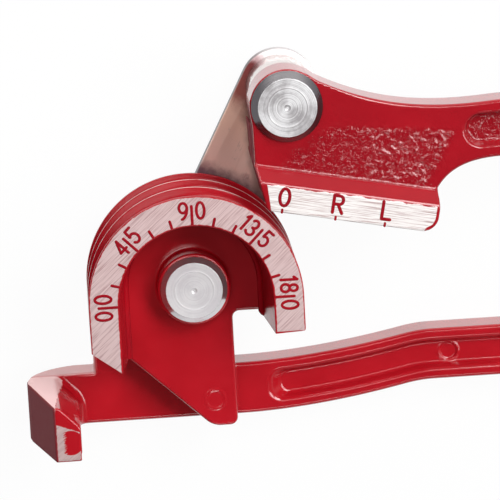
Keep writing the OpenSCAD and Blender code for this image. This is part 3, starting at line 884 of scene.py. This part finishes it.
class Finish(Wire):
    """A new material: its coordinates in millimetres, its noises and its shader."""

    def __init__(self, name):
        self.material = bpy.data.materials.new(name)
        self.material.use_nodes = True
        super().__init__(self.material.node_tree)
        self.tree.nodes.clear()
        metres = self.node("ShaderNodeTexCoord", output="Object")
        self.place = self.node("ShaderNodeVectorMath", {"operation": "SCALE"}, {0: metres, "Scale": 1/MM})
        axes = [self.node("ShaderNodeSeparateXYZ", None, {0: self.place}, k) for k in range(3)]
        self.x, self.y, self.z = axes

    def noise(self, scale, detail=3.0, rough=0.5, place=None):
        """Noise of a number of waves to the millimetre, on the coordinates or on others."""
        values = {"Vector": place or self.place, "Scale": scale, "Detail": detail, "Roughness": rough}
        return self.node("ShaderNodeTexNoise", None, values, "Fac")

    def place_warped(self, reach):
        """The coordinates pushed about by a slow noise, so that a pattern on them wanders."""
        values = {"Vector": self.place, "Scale": 0.6, "Detail": 2.0}
        push = self.node("ShaderNodeTexNoise", None, values, "Color")
        return self.node("ShaderNodeVectorMath", {"operation": "MULTIPLY_ADD"},
                         {0: push, 1: (reach*2, reach*2, reach*2), 2: self.place})

    def turned(self, angle, stretch):
        """The coordinates of a pattern that is stretched along each axis and then turned about Z."""
        return self.node("ShaderNodeMapping", {"vector_type": "TEXTURE"},
                         {"Vector": self.place, "Rotation": (0, 0, angle), "Scale": stretch})

    def from_rivet(self):
        """Places along the shoe and up from the lever's rivet."""
        turn, rise = math.cos(SHOE_ANGLE), math.sin(SHOE_ANGLE)
        x, y = self.x - float(LEVER_AT[0]), self.y - float(LEVER_AT[1])
        return x*turn + y*rise, y*turn - x*rise

    def from_wheel(self):
        """Places along the link from the wheel's axis and across it."""
        turn, rise = math.cos(LINK_ANGLE), math.sin(LINK_ANGLE)
        return self.x*turn + self.y*rise, self.y*turn - self.x*rise

    def bump(self, height, distance):
        """The normal over a height, given in steps of a distance."""
        return self.node("ShaderNodeBump", None, {"Height": height, "Distance": distance, "Strength": 1.0})

    def done(self, settings):
        """The material with its shader set and joined to the output."""
        shader = self.node("ShaderNodeBsdfPrincipled", None, settings)
        self.node("ShaderNodeOutputMaterial", None, {"Surface": shader}, None)
        return self.material


def red_coat(name, bare=None, folds=None, matt_and_shade=None, ground=RING_GROUND, brush=BRUSH_ANGLE, gloss=0.6,
             shine=0.5, tints=(DEEP_RED, RED)):
    """Glossy red powder coat: slow clouds of deeper red and a fine orange peel. Folds give the depth of
    small wrinkles as cast, in a darker red. A matt-and-shade mask takes the gloss off and darkens the coat:
    a matt finish, with painted shade in its darker red. A bare mask shows metal of two colours, rubbed and
    ground, and the ground fronts have hairline scratches along the brush's angle and traces of the coat.
    On the hook, the rubbed colour's paler pink is partly painted light on the up-facing faces."""
    f = Finish(name)
    colour = f.noise(0.07, 3.0).step(0.3, 0.7).mix(*tints)
    height = f.noise(1.1, 2.0)*0.006 + f.noise(0.2, 2.0)*0.03
    rough = 0.16 + f.noise(0.4, 4.0)*0.08
    metal = 0.0
    if folds:
        fold = folds(f)
        height = height + fold*f.noise(2.1, 1.5, 0.5, f.place_warped(0.5))
        rough = rough - fold*0.6
        colour = (fold*7).mix(colour, FOLD_RED)
    if matt_and_shade:
        # Painted shade: the masked sides get a darker red and lose their gloss
        matt_shade = matt_and_shade(f)
        rough = rough + matt_shade*0.65
        colour = matt_shade.mix(colour, MATT_SHADE_RED)
        gloss = gloss*(1 - matt_shade)
    if bare:
        metal = bare(f)
        scratch = f.noise(1.0, 2.0, 0.5, f.turned(brush, (6.5, 0.16, 1.0)))
        dark = scratch.step(0.45, 0.68)*0.8 + f.noise(0.5, 4.0, 0.6).step(0.55, 0.85)*0.25
        dark = dark*(f.z - (HOOK_FRONT - 0.3)).step(0, 0.2)
        shown = (f.z - (HOOK_FRONT - 0.15)).step(0, 0.1).mix(*ground)
        colour = metal.mix(colour, dark.mix(shown, STAIN))
        height = height + metal*(scratch*0.03)
        rough = rough + metal*(scratch*0.12 + 0.2)
        gloss = gloss*(1 - metal)
        metal = metal*0.3
    return f.done({"Base Color": colour, "Metallic": metal, "Roughness": rough, "Coat Weight": gloss,
                   "Coat Roughness": 0.13, "Specular IOR Level": shine, "Normal": f.bump(height, MM)})


def ring_bare(f):
    """The ring face is ground bare up to thin ragged red edges along the pocket and the front land. The two
    inner lands are pale bare metal along their tips."""
    out = (f.x*f.x + f.y.most(0.0)*f.y.most(0.0)).root()
    ragged = f.noise(1.1, 4.0, 0.6)*0.5
    inner = (out - (POCKET_R + ragged)).step(0, 0.2)
    outer = (BEND_R + 0.08 - ragged - out).step(0, 0.2)
    arm_end = (f.y + ARM_DROP + 20*(0 - f.x).step(0, 1)).step(0.3, 0.6)
    face = (f.z - (FRONT_Z - 0.08)).step(0, 0.03)*inner*outer*arm_end
    lands = (f.z - TIP_LEVELS[0]).step(0, 0.5)*(TIP_LEVELS[1] - f.z).step(0, 0.5)
    tips = (out - (BEND_R - 0.1)).step(0, 0.04)*lands
    return face.most(tips*f.noise(0.3, 3.0).step(0.2, 0.5))


def inside_hook(f):
    """Distance inwards from the hook's slanted outer face."""
    return f.x - HOOK_END - HOOK_RAKE*(f.z - HOOK_ROUND).most(0.0)


def hook_bare(f):
    """The hook's front is ground below a slanting line, up to ragged edges, apart from the sunk part of a
    round ejector mark. Its top is rubbed pale on a ragged triangle. The handle's top beside the hook is
    half bare metal: a painted sheen."""
    ragged = f.noise(1.2, 4.0, 0.65)
    front = (f.z - (HOOK_FRONT - 0.05)).step(0, 0.02)
    below = (HOOK_LINE[1] - HOOK_FALL*(f.x - HOOK_LINE[0]) - f.y - ragged*0.5).step(0, 0.15)
    right = (HOOK_SIDES[1] + ragged*0.2 - f.x).step(0, 0.1)
    edges = right*(f.x - HOOK_SIDES[0] - ragged*0.6).step(0, 0.1)
    dx, dy = f.x - HOOK_DISC[0], f.y - HOOK_DISC[1]
    mark = (dx*dx + dy*dy).root().step(HOOK_DISC_R, HOOK_DISC_R + 0.15)
    hatch = f.noise(1.0, 2.0, 0.5, f.turned(0.5, (3.0, 0.16, 1.0)))
    left = (HOOK_HATCH + ragged*0.9 + hatch*2.4 - f.x).step(0, 0.1)
    above = f.z - BAR_T
    reach = RUBBED_TO - RUBBED_LEAN*above - f.x + (ragged - 0.5)*1.4
    rubbed = reach.step(0, 0.1)*inside_hook(f).step(0.3, 0.4)
    top = rubbed*(above - 0.4).step(0, 0.2)*(f.y - HOOK_TOP + 3.1).step(0, 0.3)
    # Painted sheen: the handle's top beside the hook is made half bare metal
    painted_top_sheen = (f.y - HOOK_TOP - 0.4).step(0, 0.2)*(NECK_X[0] + 0.5 - f.x).step(0, 0.3)*0.5
    return (front*below*edges*mark.most(left)).most(top).most(painted_top_sheen)


def hook_dull(f):
    """The hook's slanted outer face is matt, with painted shade in a darker red."""
    return (0.5 - inside_hook(f)).step(0, 0.3)


def strip_bare(f):
    """The shoe's strip is ground bare, over its lower edge and up to a ragged red edge at its toe, its heel
    and its top."""
    along, up = f.from_rivet()
    ragged = f.noise(0.8, 4.0, 0.6)*0.6
    toe_x = (along - (SHOE_REACH - SHOE_CORNER)).most(0.0)
    toe_y = (SHOE_CORNER - SHOE_DROP - up).most(0.0)
    corner = (toe_x*toe_x + toe_y*toe_y*toe_x.step(0, 1.2)).root()
    toe = (SHOE_CORNER - 0.5 - ragged*0.6 - corner).step(0, 0.15)
    top = (-STRIP_TOP + 0.6 - ragged*0.8 - f.noise(0.3, 3.0, 0.6)*1.4 - up).step(0, 0.15)
    heel = along*STRIP_FACING[0] + (up + SHOE_DROP)*STRIP_FACING[1]
    heel = (heel + STRIP_EDGE - ragged*5).step(0, 1.5)
    level = f.z + 0.25*(0.4 - SHOE_DROP - up).step(0, 0.2)
    return (level - (FRONT_Z - 0.06)).step(0, 0.02)*toe*top*heel


def heel_dull(f):
    """The lever's side over its heel, below the front of its cheek and of its shoe, is matt, with painted
    shade in a darker red.
    """
    along, up = f.from_rivet()
    flank = (0.8 - EYE_R - up*0.31 - along).step(0, 0.3)*(-0.5 - up).step(0, 2)
    front = LEVER_FRONT - 0.7 + (-SHOE_TOP - up).most(0.0).least(FRONT_Z - LEVER_FRONT)
    return flank*(front - f.z).step(0, 0.3)


def cheek_wrinkles(f):
    """Depth of the fine wrinkles on the lever's cheek and in its recess: deepest in a wedge over the shoe.
    Walls, ledge and edges are smooth."""
    along, up = f.from_rivet()
    cheek = (f.z - (LEVER_FRONT - 0.4)).step(0, 0.1)*(LEVER_FRONT + 0.35 - f.z).step(0, 0.1)
    floor = (LEVER_FRONT - RECESS_DEPTH + 0.4 - f.z).step(0, 0.1)*(f.z - (LEVER_BACK + 2)).step(0, 0.1)
    grip_up = (up - float(WAIST[1]))*math.cos(GRIP_ANGLE) - (along - float(WAIST[0]))*math.sin(GRIP_ANGLE)
    slot = (LEVER_HALF - FLANGE - grip_up).step(0, 0.2)*(LEVER_HALF - FLANGE + grip_up).step(0, 0.2)
    left, right, under = cheek_wedge(along, up)
    wedge = (left + f.noise(0.25, 2.0)*8 - 2).step(0, 6)*right.step(0, 3)*under.step(0, 2)
    return cheek*(wedge*0.11 + 0.02) + floor*slot*(along - 40).step(0, 1)*0.13


def link_edge(f):
    """Painted shade on the link's cut sides below a bright upper edge: beyond its half width from the line
    between its rivets, fainter round its far end."""
    along, across = f.from_wheel()
    past = (along - LINK_LENGTH).most(0.0)
    out = (across*across + past*past).root()
    sides = out.step(LINK_HALF - 0.3, LINK_HALF - 0.12)*(LINK_TOP - 0.8 - f.z).step(0, 0.4)
    return sides*(1 - past.step(0, 8)*0.6)


def link_shade(f):
    """Painted shade on the link along the lever's edge, up to the lever's eye."""
    from_x, from_y, lean = SHADE_FROM
    past = f.x - from_x - (from_y - f.y)*lean + f.noise(0.3, 3.0)*2 - 1
    return past.step(-1.2, 1.2)*(SHADE_TOP - f.y).step(0, 3)*0.65


def plated_steel(name, tints, rough, metal, angle=0.0, painted_shades=()):
    """Bright plating over steel. Its tint changes along its length, given as (place, colour) from the
    wheel's axis on, with faint lengthwise polishing lines and soft smudges; on the link these tints are
    partly painted reflections and shade. Painted shades are pairs of a mask and a colour, and take the bright
    metal off."""
    f = Finish(name)
    lines = f.noise(1.0, 3.0, 0.6, f.turned(angle, (9.0, 0.3, 1.0)))
    smudge = f.noise(0.3, 4.0, 0.6)
    along = f.x*math.cos(angle) + f.y*math.sin(angle) + smudge*5 - 2.5
    colour = tints[0][1]
    for (start, _), (end, tint) in zip(tints[:-1], tints[1:]):
        colour = along.step(start, end).mix(colour, tint)
    # Painted shade: each mask darkens the link and takes its bright metal off
    for mask, shade_colour in painted_shades:
        shaded = mask(f)
        colour = shaded.mix(colour, shade_colour)
        metal = (1 - shaded)*metal
    return f.done({"Base Color": colour, "Metallic": metal, "Roughness": rough + smudge*0.12 + lines*0.06,
                   "Specular IOR Level": 0.25, "Normal": f.bump(lines*0.002 + smudge*0.02, MM)})


def turned_steel(name, at, face, pitch, depth, dark, bevels):
    """Turned rivet head: rings of a pitch round its axis, wavering a little, a faint step at two thirds of
    the face, smudges down to a darker grey, a painted sheen on one slant, and a polished bevel of one colour
    above and another aside; a darker colour aside is a painted dark reflection."""
    f = Finish(name)
    dx, dy = f.x - at[0], f.y - at[1]
    out = (dx*dx + dy*dy).root()
    smudge = f.noise(0.5, 4.0, 0.6)
    bevel = out.step(face - 0.15, face + 0.05)
    wave = f.math("SINE", out*(2*math.pi/pitch) + f.noise(0.35, 2.0)*4.0)
    uneven = f.noise(1.0, 3.0, 0.7, f.node("ShaderNodeCombineXYZ", None, {0: out*2.6, 1: 0.0, 2: 0.0}))
    inner = out.step(FACE_STEP_R - 0.3, FACE_STEP_R - 0.05)
    step = inner*(1 - out.step(FACE_STEP_R + 0.05, FACE_STEP_R + 0.3))
    # Painted sheen: the face is lighter on one slant and darker on the other
    sheen = f.math("DIVIDE", dx*dy, dx*dx + dy*dy + 0.1)
    colour = (smudge*0.3 + uneven*0.7 - sheen*0.12).step(0.38, 0.62).mix(BRIGHT, dark)
    # Painted dark reflection: the bevel takes its second colour at its left and right sides
    aside = f.math("ABSOLUTE", dx).step(2.0, face)
    colour = bevel.mix(colour, aside.mix(*bevels))
    return f.done({"Base Color": colour, "Metallic": 0.3 + bevel*0.6,
                   "Roughness": 0.3 + smudge*0.16 - bevel*0.2,
                   "Normal": f.bump(wave*depth + uneven*depth*4 + step*0.03, MM)})


def paint(piece, finish):
    """Gives a piece one finish all over."""
    piece.data.materials.clear()
    piece.data.materials.append(finish)
    return piece


# Floor, light and camera

def add_floor():
    """Plain white floor under the tool. Cameras and reflections see it near white, reflections less so on
    the left, a painted shade beside the tool, and it keeps a soft share of its own shading, so the tool's
    shadow stays."""
    signs = ((-1, -1), (1, -1), (1, 1), (-1, 1))
    mesh = bpy.data.meshes.new("floor")
    mesh.from_pydata([(FLOOR_HALF*a, FLOOR_HALF*b, FLOOR_Z) for a, b in signs], [], [(0, 1, 2, 3)])
    floor = bpy.data.objects.new("floor", mesh)
    bpy.context.scene.collection.objects.link(floor)
    f = Finish("floor_white")
    seen = f.node("ShaderNodeLightPath", output="Is Camera Ray")
    # Painted shade: reflections see the floor darker on the left
    mirrored = f.x.step(-80, -10)*0.6 + 0.4
    for kind in ("Is Glossy Ray", "Is Transmission Ray"):
        seen = seen.most(mirrored*f.node("ShaderNodeLightPath", output=kind))
    matt = f.node("ShaderNodeBsdfDiffuse", None, {"Color": MATT_WHITE})
    glow = f.node("ShaderNodeEmission", None, {"Color": WHITE, "Strength": 1.0})
    blend = f.node("ShaderNodeMixShader", None, {0: seen*0.95, 1: matt, 2: glow})
    f.node("ShaderNodeOutputMaterial", None, {"Surface": blend}, None)
    floor.data.materials.append(f.material)


def add_lamp(name, place, size, level):
    """Soft lamp of a width and a depth at a place, facing the tool, as bright as the level: its power is pi
    times its area times that."""
    data = bpy.data.lights.new(name, "AREA")
    data.shape = "RECTANGLE"
    data.size, data.size_y = size
    data.energy = math.pi*size[0]*size[1]*level
    lamp = bpy.data.objects.new(name, data)
    bpy.context.scene.collection.objects.link(lamp)
    lamp.location = place
    lamp.rotation_euler = (Vector(AIM) - Vector(place)).to_track_quat("-Z", "Y").to_euler()


def add_world(ceiling, horizon):
    """Room light from a band round the horizon, darker to the left, to a dim ceiling; the camera sees
    white."""
    world = bpy.data.worlds.new("room")
    world.use_nodes = True
    world.node_tree.nodes.clear()
    w = Wire(world.node_tree)
    ray = w.node("ShaderNodeTexCoord", output="Generated")
    right, height = (w.node("ShaderNodeSeparateXYZ", None, {0: ray}, axis) for axis in ("X", "Z"))
    band = (1 - height.step(0.1, 0.5))*(right.step(-0.9, 0.2)*0.85 + 0.15)
    level = ceiling + band*(horizon - ceiling)
    seen = w.node("ShaderNodeLightPath", output="Is Camera Ray")
    room = w.node("ShaderNodeBackground", None, {"Color": WHITE, "Strength": level.most(seen)})
    w.node("ShaderNodeOutputWorld", None, {"Surface": room}, None)
    bpy.context.scene.world = world


def add_camera():
    """Long lens over the tool, tilted as the photograph was taken."""
    data = bpy.data.cameras.new("camera")
    data.sensor_width = 36.0
    data.lens = LENS
    data.clip_start = 0.05
    data.clip_end = 20.0
    camera = bpy.data.objects.new("camera", data)
    camera.location = CAMERA_AT
    camera.rotation_euler = Euler([math.radians(angle) for angle in CAMERA_TURN])
    bpy.context.scene.collection.objects.link(camera)
    bpy.context.scene.camera = camera


# Pieces

points, quads, ends = rim_sweep()
rim = add_piece("wheel_rim_skin", points, quads, "frame", ("wheel_rim", "wheel_web"), ends)
paint(rim, red_coat("ring_red", ring_bare, gloss=0.0, shine=0.2, tints=WHEEL_REDS))

points, quads, normals = skin(casting_solid, CASTING_LATTICE)
casting = add_piece("handle_casting_skin", points, quads, "frame",
                    ("wheel_web", "lower_handle", "tube_hook"), normals=normals)
paint(casting, red_coat("handle_red", hook_bare, matt_and_shade=hook_dull, ground=HOOK_LIT_TOP_AND_GROUND))

points, quads, normals = skin(lever_solid, LEVER_LATTICE)
lever = add_piece("lever_skin", at_lever(points), quads, "lever", ("lever",),
                  normals=to_frame(normals))
lever_red = red_coat("lever_red", strip_bare, cheek_wrinkles, heel_dull, STRIP_GROUND,
                     brush=SHOE_ANGLE, tints=LEVER_REDS)
paint(lever, lever_red)

marks_red = red_coat("mark_red", gloss=0.0, tints=(MARK_RED, WHEEL_REDS[0]))
points, quads = stroke_tubes(scale_strokes(), SCALE_WIDTH, FRONT_Z)
paint(add_piece("degree_scale", points, quads, "frame"), marks_red)
points, quads = stroke_tubes(*shoe_strokes(), FRONT_Z)
paint(add_piece("shoe_letters", at_lever(points), quads, "lever"), marks_red)

# The lever rivet's bevel is DARK at its left and right sides: painted dark reflection
for name, body, at, head, pitch, depth, dark, bevels in (
        ("wheel", "frame", (0.0, 0.0), WHEEL_RIVET, 0.7, 0.0012, PALE, (PALE, PALE)),
        ("lever", "link", LEVER_AT.tolist(), LEVER_RIVET, 0.37, 0.006, GREY, (GREY, DARK))):
    points, quads, ends = turned(rivet_section(**head), at)
    rivet = add_piece(name + "_rivet_turned", points, quads, body, (name + "_pivot_rivet",),
                      ends)
    paint(rivet, turned_steel(name + "_rivet_steel", at, head["face"], pitch, depth, dark, bevels))

link_steel = plated_steel("link_plating", LINK_TINTS_AND_PAINTED_LIGHT, rough=0.2, metal=0.15, angle=LINK_ANGLE,
                          painted_shades=((link_shade, LINK_SHADE), (link_edge, LINK_SIDE_SHADE)))
paint(softened("link_plate", 0.35), link_steel)
spacer_steel = plated_steel("spacer_plating", SPACER_TINTS, rough=0.08, metal=0.9)
paint(softened("lever_spacer", 0.12), spacer_steel)
washer_steel = plated_steel("washer_plating", SPACER_TINTS, rough=0.15, metal=0.7)
for node in ("wheel_thrust_washer", "wheel_rear_washer", "lever_thrust_washer", "lever_rear_washer"):
    paint(softened(node, 0.12), washer_steel)

# Stage

add_floor()
add_world(CEILING, HORIZON)
for name, (place, size, level) in LAMPS.items():
    add_lamp(name, place, size, level)
add_camera()
bpy.context.scene.view_settings.view_transform = "Standard"
